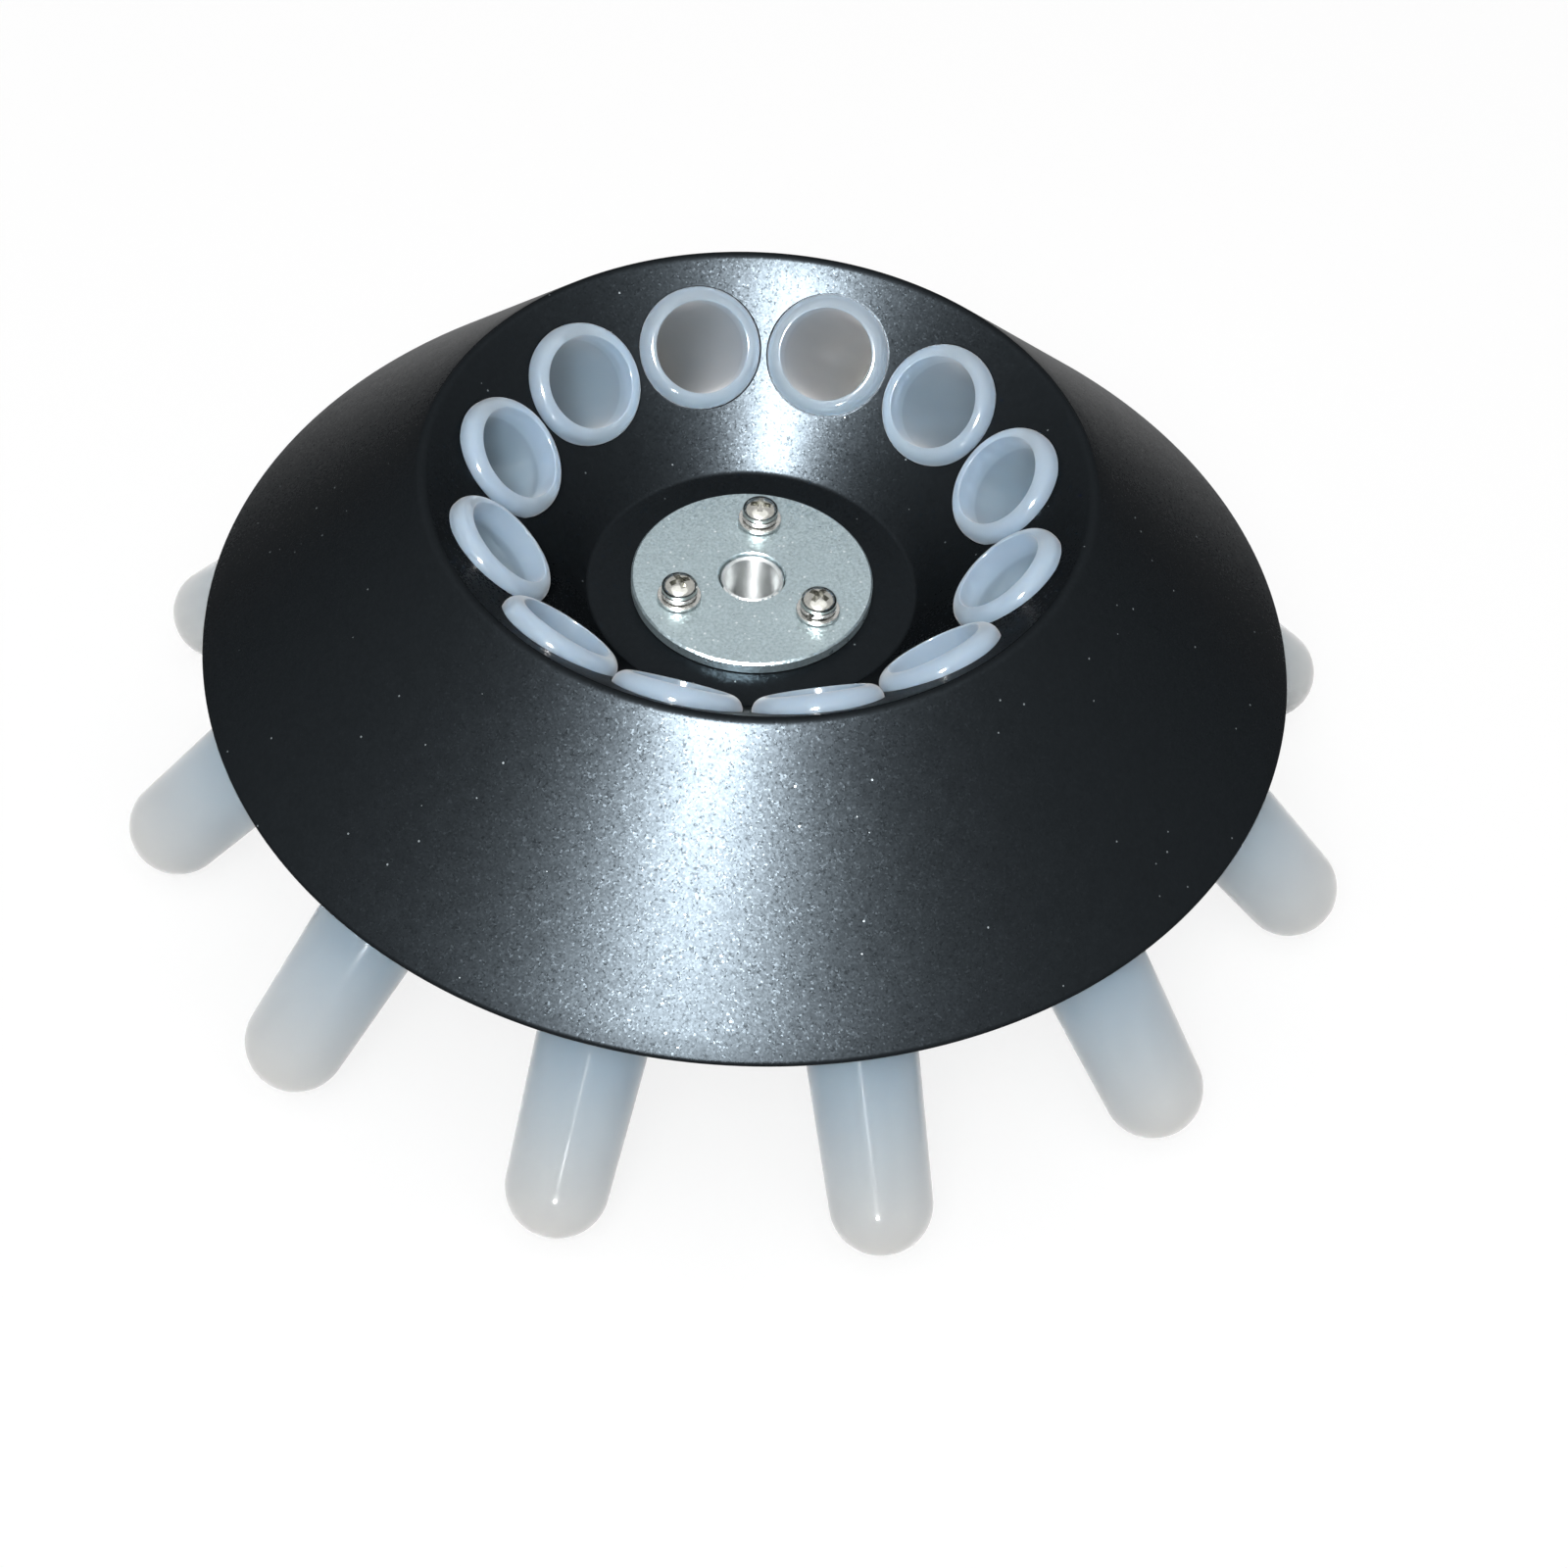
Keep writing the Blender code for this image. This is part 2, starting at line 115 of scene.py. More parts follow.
# Hub and plate
SHAFT_BORE_RADIUS = 0.0057
HUB_LIP_RADIUS = 0.00665
HUB_LIP_RECESS = 0.0005
HUB_CHAMFER = 0.0003
CENTRE_HOLE_RADIUS = HUB_LIP_RADIUS + SEAT_GAP
BOSS_RADIUS = 0.014
BOSS_CHAMFER = 0.001
HUB_FLANGE_RADIUS = 0.0229
HUB_FLANGE_THICKNESS = 0.007
HUB_FLANGE_TOP = FLOOR_UNDERSIDE - SEAT_GAP
PLATE_RADIUS = 0.025
PLATE_THICKNESS = 0.0025
PLATE_CHAMFER = 0.0004
CENTRE_HOLE_CHAMFER = 0.0002
PLATE_UNDERSIDE = FLOOR_TOP + SEAT_GAP
PLATE_TOP = PLATE_UNDERSIDE + PLATE_THICKNESS

# Screws and washers
SCREW_CIRCLE_RADIUS = 0.0165
SHANK_RADIUS = 0.0019
SHANK_LENGTH = 0.0155
THREAD_PITCH = 0.0007
THREADED_SHARE = 0.7
THREAD_ROOT_RADIUS = SHANK_RADIUS * 0.84
SCREW_END_RADIUS = SHANK_RADIUS * 0.75
SCREW_END_BEVEL = SHANK_RADIUS / 4
SCREW_HOLE_RADIUS = SHANK_RADIUS + SEAT_GAP
HEAD_RADIUS = 0.0037
HEAD_HEIGHT = 0.0025
HEAD_SIDE_HEIGHT = 0.0008
HEAD_EDGE = 0.0002
DOME_STEPS = 12
RECESS_SPAN = 0.0045
RECESS_WIDTH = 0.00125
RECESS_DEPTH = 0.0014
RECESS_FLOOR_SHARE = 0.7
SPRING_WASHER_BAND = 0.0015
SPRING_WASHER_THICKNESS = 0.0009
SPRING_WASHER_SPLIT = 0.0008
FLAT_WASHER_BAND = 0.0023
FLAT_WASHER_THICKNESS = 0.0008
FLAT_WASHER_ROUND = 0.0002
FLAT_WASHER_BASE = PLATE_TOP + SEAT_GAP
SPRING_WASHER_BASE = FLAT_WASHER_BASE + FLAT_WASHER_THICKNESS + SEAT_GAP
HEAD_BASE = SPRING_WASHER_BASE + SPRING_WASHER_THICKNESS + SEAT_GAP

# Mesh fineness
HEAD_SEGMENTS = 288
SLEEVE_SEGMENTS = 96
HUB_SEGMENTS = 128
PLATE_SEGMENTS = 192
FASTENER_SEGMENTS = 64
ARC_STEPS = 8
SHARP_ANGLE = math.radians(32.0)

# Camera, from a fit of the rotor's edges in the photograph
IMAGE_SIDE_PX = 1600
FOCAL_PX = 3424.1
CAMERA_DISTANCE = 0.6986
CAMERA_TARGET_HEIGHT = 0.05875
CAMERA_ELEVATION = math.radians(45.30)
CAMERA_BEARING = math.radians(180.79)
CAMERA_ROLL = math.radians(3.85)
CAMERA_YAW = -0.00987
CAMERA_PITCH = 0.05573


def link(name, mesh):
    made = bpy.data.objects.new(name, mesh)
    bpy.context.scene.collection.objects.link(made)
    return made


def arc(centre, start, end, steps=ARC_STEPS):
    """Points of a quarter ellipse about centre, from centre + start to centre + end."""
    turns = [math.pi / 2 * step / steps for step in range(steps + 1)]
    return [centre + start * math.cos(turn) + end * math.sin(turn) for turn in turns]


def spaced(start, end, steps):
    """Points between start and end, without either of them."""
    return [start.lerp(end, step / steps) for step in range(1, steps)]


def rounded(corner, before, after, radius, steps=3):
    """A small round that replaces an outline's corner, between the directions to its neighbours."""
    to_before = (before - corner).normalized()
    to_after = (after - corner).normalized()
    start = corner + to_before * radius
    end = corner + to_after * radius
    points = []
    for step in range(steps + 1):
        share = step / steps
        points.append(start * (1 - share) ** 2 + corner * 2 * share * (1 - share) + end * share ** 2)
    return points


def turn_ring(mesh, point, segments):
    if point.x < 1e-9:
        return [mesh.verts.new((0, 0, point.y))]
    angles = [math.tau * step / segments for step in range(segments)]
    return [mesh.verts.new((point.x * math.cos(a), point.x * math.sin(a), point.y)) for a in angles]


def add_turned(mesh, outline, segments, placement=None):
    """Turn an outline of (radius, height) points about Z, closed either on the axis or on itself."""
    rings = [turn_ring(mesh, Vector(point), segments) for point in outline]
    pairs = list(zip(rings, rings[1:]))
    if len(rings[0]) > 1:
        pairs.append((rings[-1], rings[0]))
    for lower, upper in pairs:
        for step in range(segments):
            following = (step + 1) % segments
            corners = [lower[step % len(lower)], lower[following % len(lower)]]
            corners += [upper[following % len(upper)], upper[step % len(upper)]]
            mesh.faces.new(list(dict.fromkeys(corners)))
    if placement:
        bmesh.ops.transform(mesh, matrix=placement, verts=[v for ring in rings for v in ring])


def finish_mesh(name, mesh):
    bmesh.ops.recalc_face_normals(mesh, faces=mesh.faces)
    data = bpy.data.meshes.new(name)
    mesh.to_mesh(data)
    mesh.free()
    data.shade_smooth()
    data.set_sharp_from_angle(angle=SHARP_ANGLE)
    return data


def turned(name, outline, segments):
    mesh = bmesh.new()
    add_turned(mesh, outline, segments)
    return link(name, finish_mesh(name, mesh))


def cut(target, mesh):
    """Cut the closed bodies in mesh out of target, for good."""
    cutter = link("cutter", finish_mesh("cutter", mesh))
    modifier = target.modifiers.new("cut", "BOOLEAN")
    modifier.operation = "DIFFERENCE"
    modifier.solver = "EXACT"
    modifier.object = cutter
    graph = bpy.context.evaluated_depsgraph_get()
    result = bpy.data.meshes.new_from_object(target.evaluated_get(graph))
    target.modifiers.clear()
    target.data = result
    bpy.data.objects.remove(cutter)
    result.shade_smooth()
    result.set_sharp_from_angle(angle=SHARP_ANGLE)


def rod(radius, bottom, top):
    return [(0, bottom), (radius, bottom), (radius, top), (0, top)]


def bearing_matrix(bearing):
    return Matrix.Rotation(-bearing, 4, "Z")


def sleeve_matrix(index):
    """The frame of a sleeve, with its origin under its flange and +Z out of its mouth."""
    out = Matrix.Translation((0, UNDERSIDE_OF_FLANGE.x, UNDERSIDE_OF_FLANGE.y))
    return bearing_matrix(HALF_PITCH * (2 * index + 1)) @ out @ Matrix.Rotation(SLEEVE_LEAN, 4, "X")


def screw_matrix(index):
    bearing = SCREW_BEARING + math.tau * index / SCREW_COUNT
    return bearing_matrix(bearing) @ Matrix.Translation((0, SCREW_CIRCLE_RADIUS, 0))


def screw_holes(bottom, top):
    mesh = bmesh.new()
    for index in range(SCREW_COUNT):
        add_turned(mesh, rod(SCREW_HOLE_RADIUS, bottom, top), FASTENER_SEGMENTS, screw_matrix(index))
    return mesh


def place(piece, body, node, material):
    """Let piece stand for a CAD node, ride on its body and wear its material."""
    piece.data.transform(piece.matrix_world)
    piece.matrix_world = Matrix()
    piece.data.materials.clear()
    piece.data.materials.append(material)
    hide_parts(node)
    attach(piece, body)


class Nodes:
    """A material's node tree, with short calls to add and wire its nodes."""

    def __init__(self, name):
        self.material = bpy.data.materials.new(name)
        self.material.use_nodes = True
        self.tree = self.material.node_tree
        self.tree.nodes.clear()

    def add(self, kind, inputs=None, **settings):
        node = self.tree.nodes.new(kind)
        for key, value in settings.items():
            setattr(node, key, value)
        for key, value in (inputs or {}).items():
            self.feed(node.inputs[key], value)
        return node

    def feed(self, socket, value):
        if isinstance(value, bpy.types.NodeSocket):
            self.tree.links.new(value, socket)
        else:
            socket.default_value = value

    def math(self, operation, *values):
        return self.add("ShaderNodeMath", dict(enumerate(values)), operation=operation).outputs[0]

    def vector(self, operation, *values):
        node = self.add("ShaderNodeVectorMath", operation=operation)
        for socket, value in zip(node.inputs, values):
            self.feed(socket, value)
        return node.outputs[0]

    def scaled(self, vector, factor):
        node = self.add("ShaderNodeVectorMath", operation="SCALE")
        self.feed(node.inputs[0], vector)
        self.feed(node.inputs["Scale"], factor)
        return node.outputs[0]

    def ramp(self, value, low, high, out_low=0.0, out_high=1.0):
        inputs = {"Value": value, "From Min": low, "From Max": high, "To Min": out_low, "To Max": out_high}
        return self.add("ShaderNodeMapRange", inputs).outputs[0]

    def mix(self, factor, first, second):
        node = self.add("ShaderNodeMix", data_type="RGBA")
        self.feed(node.inputs[0], factor)
        self.feed(node.inputs[6], first)
        self.feed(node.inputs[7], second)
        return node.outputs[2]

    def place(self):
        return self.add("ShaderNodeTexCoord").outputs["Object"]

    def bent(self, tilt):
        """The surface's normal, leaned by a tilt vector."""
        normal = self.add("ShaderNodeNewGeometry").outputs["Normal"]
        return self.vector("NORMALIZE", self.vector("ADD", normal, tilt))

    def noise(self, scale, detail=2.0):
        inputs = {"Vector": self.place(), "Scale": scale, "Detail": detail}
        return self.add("ShaderNodeTexNoise", inputs).outputs[0]

    def cells(self, size):
        return self.add("ShaderNodeTexVoronoi", {"Vector": self.place(), "Scale": 1 / size})

    def first_part(self, colour):
        """The red part of a colour."""
        return self.add("ShaderNodeSeparateColor", {0: colour}).outputs[0]

    def attribute(self, name):
        return self.add("ShaderNodeAttribute", attribute_name=name).outputs["Fac"]

    def spread(self, colour):
        """A colour as a tilt vector, from -0.5 to 0.5 on each axis."""
        return self.vector("SUBTRACT", colour, (0.5, 0.5, 0.5))

    def shade(self, **inputs):
        shader = self.add("ShaderNodeBsdfPrincipled")
        for key, value in inputs.items():
            self.feed(shader.inputs[key.replace("_", " ")], value)
        output = self.add("ShaderNodeOutputMaterial")
        self.tree.links.new(shader.outputs[0], output.inputs[0])
        return self.material


# Finishes: size of the grains and rings in each coat, in metres
FLAKE = 0.00036
LEANING_FLAKE = FLAKE * 1.4
SPECK = 0.0012
SPOT = 0.0009
BLAST = 0.0004
TURNED_RING = 0.00023


def black_coat():
    """Black powder coat: fine facets that lean a little, a few that lean more, and rare light specks."""
    n = Nodes("black_coat")
    flakes = n.cells(FLAKE).outputs["Color"]
    rare = n.first_part(n.cells(LEANING_FLAKE).outputs["Color"])
    lean = n.math("ADD", n.math("MULTIPLY", n.math("GREATER_THAN", rare, 0.7), 0.11), 0.045)
    bent = n.bent(n.scaled(n.spread(flakes), lean))
    specks = n.cells(SPECK)
    chance = n.first_part(specks.outputs["Color"])
    core = n.math("LESS_THAN", specks.outputs["Distance"], 0.18)
    speck = n.math("MULTIPLY", n.math("GREATER_THAN", chance, 0.985), core)
    coat = n.mix(n.noise(900.0), (0.0085, 0.0104, 0.0120, 1), (0.0114, 0.0138, 0.0158, 1))
    colour = n.mix(speck, coat, (0.16, 0.18, 0.19, 1))
    rough = n.ramp(n.noise(250.0), 0.3, 0.7, 0.36, 0.385)
    return n.shade(
        Base_Color=colour, Roughness=rough, Normal=bent, Metallic=0.85, Specular_IOR_Level=0.1,
        Specular_Tint=(0.4, 0.4, 0.4, 1),
    )


def plate_metal():
    """Bead-blasted and anodised aluminium: tiny craters and a slightly mottled grey."""
    n = Nodes("anodised_plate")
    tilt = n.scaled(n.spread(n.cells(BLAST).outputs["Color"]), 0.22)
    mottle = n.ramp(n.noise(1500.0, 3.0), 0.35, 0.65)
    matt = n.mix(mottle, (0.29, 0.36, 0.38, 1), (0.38, 0.46, 0.49, 1))
    spots = n.cells(SPOT)
    chance = n.first_part(spots.outputs["Color"])
    core = n.math("LESS_THAN", spots.outputs["Distance"], 0.3)
    spot = n.math("MULTIPLY", n.math("GREATER_THAN", chance, 0.93), core)
    colour = n.mix(spot, matt, (0.58, 0.64, 0.66, 1))
    rough = n.ramp(n.noise(300.0), 0.3, 0.7, 0.27, 0.33)
    return n.shade(Base_Color=colour, Roughness=rough, Normal=n.bent(tilt), Metallic=0.6)


def bright_metal(name, colour, roughness, grain):
    """Plated metal with faint uneven patches."""
    n = Nodes(name)
    patches = n.noise(grain, 3.0)
    dark = tuple(part * 0.82 for part in colour)
    mixed = n.mix(n.ramp(patches, 0.35, 0.65), (*dark, 1), (*colour, 1))
    rough = n.ramp(patches, 0.3, 0.7, roughness * 0.8, roughness * 1.25)
    return n.shade(Base_Color=mixed, Roughness=rough, Metallic=1.0)


def turned_metal():
    """Turned metal: fine rings round the axis that lean the surface to and fro along its profile."""
    n = Nodes("hub_metal")
    axes = n.add("ShaderNodeSeparateXYZ", {0: n.place()})
    x, y, z = axes.outputs
    around = n.add("ShaderNodeCombineXYZ", {0: n.math("MULTIPLY", y, -1.0), 1: x, 2: 0.0}).outputs[0]
    normal = n.add("ShaderNodeNewGeometry").outputs["Normal"]
    along = n.vector("NORMALIZE", n.vector("CROSS_PRODUCT", normal, around))
    radius = n.math("SQRT", n.math("ADD", n.math("MULTIPLY", x, x), n.math("MULTIPLY", y, y)))
    turn = n.math("MULTIPLY", n.math("ADD", radius, z), math.tau / TURNED_RING)
    wave = n.math("SINE", n.math("ADD", turn, n.math("MULTIPLY", n.noise(700.0), 9.0)))
    bent = n.bent(n.scaled(along, n.math("MULTIPLY", wave, 0.75)))
    colour = n.mix(n.noise(500.0, 3.0), (0.54, 0.56, 0.56, 1), (0.64, 0.66, 0.66, 1))
    rough = n.ramp(n.noise(400.0), 0.3, 0.7, 0.22, 0.26)
    return n.shade(Base_Color=colour, Roughness=rough, Metallic=1.0, Normal=bent)


def sleeve_plastic():
    """Milky translucent plastic with a soft sheen. Its colour holds painted light and shade: a pale collar at
    the mouth as painted light, a darker bluish wall below it as painted shade in the head's hole and under
    the skirt, lighter grey at the tip, a darker warm bore end as painted shade, and a near-white nub as a
    painted highlight.
    """
    n = Nodes("sleeve_plastic")
    depth = n.attribute("depth")
    inner = n.attribute("inner")
    # Painted shade: below the collar the wall is coloured darker and bluish, where the head's hole and the
    # skirt shade it
    shaded_blue = n.mix(n.noise(90.0, 1.0), (0.41, 0.50, 0.57, 1), (0.45, 0.54, 0.60, 1))
    # Painted shade: inside the bore towards the tip the colour is darker and warmer than outside
    grey = n.mix(inner, (0.70, 0.705, 0.70, 1), (0.61, 0.585, 0.55, 1))
    # The painted shade fades into lighter grey towards the tip
    body = n.mix(n.ramp(depth, SHADED_BLUE_DEPTH, GREY_DEPTH), shaded_blue, grey)
    # Painted highlight: the nub at the bottom of the bore is coloured near white
    with_painted_glint = n.mix(n.attribute("gate_glint"), body, (0.95, 0.94, 0.92, 1))
    # Painted light: the collar standing clear of the head is coloured pale, as if lit all round through the
    # plastic
    colour = n.mix(n.ramp(depth, LIT_COLLAR_DEPTH - LIT_COLLAR_BLEND, LIT_COLLAR_DEPTH), (0.54, 0.64, 0.73, 1), with_painted_glint)
    rough = n.ramp(n.noise(150.0, 1.0), 0.3, 0.7, 0.09, 0.11)
    return n.shade(
        Base_Color=colour, Roughness=rough, IOR=1.49, Specular_IOR_Level=0.25, Subsurface_Weight=1.0,
        Subsurface_Radius=(1.0, 1.0, 1.0), Subsurface_Scale=0.0015, Transmission_Weight=0.4,
        Sheen_Weight=0.7, Sheen_Roughness=0.35, Sheen_Tint=(1.0, 0.98, 0.97, 1),
    )


def sleeve_outline():
    """The sleeve's outline in its own frame, from the tip up its outside and down its bore."""
    wall_in = Vector((-SLEEVE_WALL, 0))
    tip_centre = Vector((0, TIP_CENTRE + TIP_ALLOWANCE))
    taper = Vector((TAPER_RADIUS, TIP_CENTRE + TAPER_LENGTH))
    neck = Vector((SLEEVE_RADIUS, 0))
    tip_arc = arc(tip_centre, Vector((0, -TIP_RADIUS)), Vector((TIP_RADIUS, 0)), 2 * ARC_STEPS)
    tip_arc[0].x = 0
    flange_low = Vector((COLLAR_RADIUS, 0))
    flange_high = Vector((COLLAR_RADIUS, FLANGE_SIDE))
    crest = Vector((BORE_RADIUS + MOUTH_ROUND, FLANGE_SIDE))
    lip_arc = arc(crest, flange_high - crest, Vector((0, COLLAR_HEIGHT - FLANGE_SIDE)), 2 * ARC_STEPS)
    mouth = Vector((BORE_RADIUS + MOUTH_ROUND, COLLAR_HEIGHT - MOUTH_ROUND))
    mouth_arc = arc(mouth, Vector((0, MOUTH_ROUND)), Vector((-MOUTH_ROUND, 0)))
    bore_end = TIP_RADIUS - SLEEVE_WALL
    end_arc = arc(tip_centre, Vector((bore_end, 0)), Vector((0, -bore_end)), 2 * ARC_STEPS)
    nub = Vector((0, end_arc[-1].y))
    end_arc[-1:] = [nub + Vector(point) for point in NUB_OUTLINE]
    outline = [*tip_arc, *spaced(tip_arc[-1], taper, 4), taper, *spaced(taper, neck, 8), neck]
    outline += rounded(flange_low, neck, flange_high, FLANGE_ROUND)
    outline += [*lip_arc, *mouth_arc[1:], *spaced(mouth_arc[-1], taper + wall_in, 8)]
    outline += [taper + wall_in, *spaced(taper + wall_in, end_arc[0], 4), *end_arc]
    return outline


def faces_axis(vertex):
    """Whether a sleeve's vertex lies on the bore's side of the wall."""
    x, y, z = vertex.co
    return vertex.normal.dot(Vector((x, y, min(z - TIP_CENTRE, 0)))) < 0


def on_gate_mark(vertex):
    """Whether a sleeve's vertex lies on the small nub at the bottom of the bore, which the material colours
    near white as a painted highlight.
    """
    x, y, z = vertex.co
    return faces_axis(vertex) and z < TIP_CENTRE and math.hypot(x, y) < NUB_REACH


def set_measure(mesh, name, measure):
    """Keep a number for each vertex of a mesh, for its material to read."""
    values = [float(measure(vertex)) for vertex in mesh.vertices]
    mesh.attributes.new(name, "FLOAT", "POINT").data.foreach_set("value", values)


def make_sleeves():
    plastic = sleeve_plastic()
    mesh = bmesh.new()
    add_turned(mesh, sleeve_outline(), SLEEVE_SEGMENTS)
    shared = finish_mesh("sleeve", mesh)
    set_measure(shared, "depth", lambda vertex: COLLAR_HEIGHT - vertex.co.z)
    set_measure(shared, "inner", faces_axis)
    set_measure(shared, "gate_glint", on_gate_mark)
    for index in range(SLEEVE_COUNT):
        number = f"{index + 1:02d}"
        sleeve = link(f"sleeve_{number}_moulding", shared.copy())
        sleeve.matrix_world = sleeve_matrix(index)
        place(sleeve, f"sleeve_{number}", f"tube_sleeve_{number}", plastic)


def head_outline():
    """The head's outline from the centre hole over the bowl and rim to the skirt, and back under."""
    rim_centre = APEX + (DOWN_SLEEVE - UP_WALL) * RIM_ROUND
    rim = arc(rim_centre, -DOWN_SLEEVE * RIM_ROUND, UP_WALL * RIM_ROUND)
    edge_in = -UP_WALL * SKIRT_EDGE_ROUND
    edge_up = -DOWN_SLEEVE * SKIRT_EDGE_ROUND
    inner_edge = SKIRT_EDGE - UP_WALL * SKIRT_WALL
    outer_round = arc(SKIRT_EDGE + edge_in + edge_up, -edge_in, -edge_up)
    inner_round = arc(inner_edge - edge_in + edge_up, -edge_up, edge_in)
    below_apex = APEX + DOWN_SLEEVE * BOWL_WALL - UP_WALL * SKIRT_WALL
    run = (math.cos(SLEEVE_LEAN) * BOWL_WALL - FLOOR_THICKNESS) / math.sin(SLEEVE_LEAN)
    below_corner = FLOOR_CORNER + DOWN_SLEEVE * BOWL_WALL + UP_WALL * run
    hole_low = Vector((CENTRE_HOLE_RADIUS, FLOOR_UNDERSIDE))
    hole_high = Vector((CENTRE_HOLE_RADIUS, FLOOR_TOP))
    outline = [hole_low, hole_high, *spaced(hole_high, FLOOR_CORNER, 6)]
    outline += rounded(FLOOR_CORNER, hole_high, rim[0], FLOOR_CORNER_ROUND)
    outline += [*spaced(FLOOR_CORNER, rim[0], 10), *rim, *spaced(rim[-1], outer_round[0], 12)]
    outline += [*outer_round, *inner_round, *spaced(inner_round[-1], below_apex, 12)]
    outline += rounded(below_apex, inner_round[-1], below_corner, UNDERSIDE_ROUND)
    outline += spaced(below_apex, below_corner, 8)
    outline += rounded(below_corner, below_apex, hole_low, UNDERSIDE_ROUND)
    return outline


def make_head():
    head = turned("head_casting", head_outline(), HEAD_SEGMENTS)
    hole_radius = SLEEVE_RADIUS + SEAT_GAP
    seat_radius = COLLAR_RADIUS + SEAT_GAP
    wall_rise = seat_radius ** 2 * math.cos(SLEEVE_LEAN) / (2 * SEAT.x)
    seat_top = SEAT_SINK + wall_rise + CUT_OVERRUN
    through = -(BOWL_WALL + wall_rise + CUT_OVERRUN)
    seat_hole = [(0, through), (hole_radius, through), (hole_radius, -SEAT_GAP)]
    seat_hole += [(seat_radius, -SEAT_GAP), (seat_radius, seat_top), (0, seat_top)]
    mesh = bmesh.new()
    for index in range(SLEEVE_COUNT):
        add_turned(mesh, seat_hole, SLEEVE_SEGMENTS, sleeve_matrix(index))
    cut(head, mesh)
    cut(head, screw_holes(FLOOR_UNDERSIDE - CUT_OVERRUN, FLOOR_TOP + CUT_OVERRUN))
    place(head, "rotor", "rotor_head", black_coat())


def make_plate():
    outline = [
        (CENTRE_HOLE_RADIUS, PLATE_UNDERSIDE),
        (PLATE_RADIUS, PLATE_UNDERSIDE),
        (PLATE_RADIUS, PLATE_TOP - PLATE_CHAMFER),
        (PLATE_RADIUS - PLATE_CHAMFER, PLATE_TOP),
        (CENTRE_HOLE_RADIUS + CENTRE_HOLE_CHAMFER, PLATE_TOP),
        (CENTRE_HOLE_RADIUS, PLATE_TOP - CENTRE_HOLE_CHAMFER),
    ]
    plate = turned("clamp_plate", outline, PLATE_SEGMENTS)
    cut(plate, screw_holes(PLATE_UNDERSIDE - CUT_OVERRUN, PLATE_TOP + CUT_OVERRUN))
    place(plate, "rotor", "hub_plate", plate_metal())


def make_hub():
    lip_top = PLATE_TOP - HUB_LIP_RECESS
    flange_underside = HUB_FLANGE_TOP - HUB_FLANGE_THICKNESS
    outline = [
        (SHAFT_BORE_RADIUS + HUB_CHAMFER, 0),
        (BOSS_RADIUS - BOSS_CHAMFER, 0),
        (BOSS_RADIUS, BOSS_CHAMFER),
        (BOSS_RADIUS, flange_underside),
        (HUB_FLANGE_RADIUS - BOSS_CHAMFER, flange_underside),
        (HUB_FLANGE_RADIUS, flange_underside + BOSS_CHAMFER),
        (HUB_FLANGE_RADIUS, HUB_FLANGE_TOP),
        (HUB_LIP_RADIUS, HUB_FLANGE_TOP),
        (HUB_LIP_RADIUS, lip_top - HUB_CHAMFER),
        (HUB_LIP_RADIUS - HUB_CHAMFER, lip_top),
        (SHAFT_BORE_RADIUS + HUB_CHAMFER, lip_top),
        (SHAFT_BORE_RADIUS, lip_top - HUB_CHAMFER),
        (SHAFT_BORE_RADIUS, HUB_CHAMFER),
    ]
    hub = turned("turned_hub", outline, HUB_SEGMENTS)
    cut(hub, screw_holes(flange_underside - CUT_OVERRUN, HUB_FLANGE_TOP + CUT_OVERRUN))
    place(hub, "rotor", "shaft_hub", turned_metal())


def cross_outline(span, width):
    """The twelve corners of a cross, anticlockwise."""
    reach = span / 2
    half = width / 2
    arm = [(reach, -half), (reach, half), (half, half)]
    turns = [Matrix.Rotation(math.pi / 2 * quarter, 2) for quarter in range(4)]
    return [turn @ Vector(point) for turn in turns for point in arm]


def add_recess(mesh, bottom, mouth, top):
    """A cross that narrows from its mouth to its floor, and runs straight above the mouth."""
    floor = cross_outline(RECESS_SPAN * RECESS_FLOOR_SHARE, RECESS_WIDTH * RECESS_FLOOR_SHARE)
    full = cross_outline(RECESS_SPAN, RECESS_WIDTH)
    levels = [(floor, bottom), (full, mouth), (full, top)]
    rings = [[mesh.verts.new((*point, height)) for point in points] for points, height in levels]
    count = len(full)
    for lower, upper in zip(rings, rings[1:]):
        for step in range(count):
            following = (step + 1) % count
            mesh.faces.new((lower[step], lower[following], upper[following], upper[step]))
    mesh.faces.new(rings[0])
    mesh.faces.new(rings[-1])


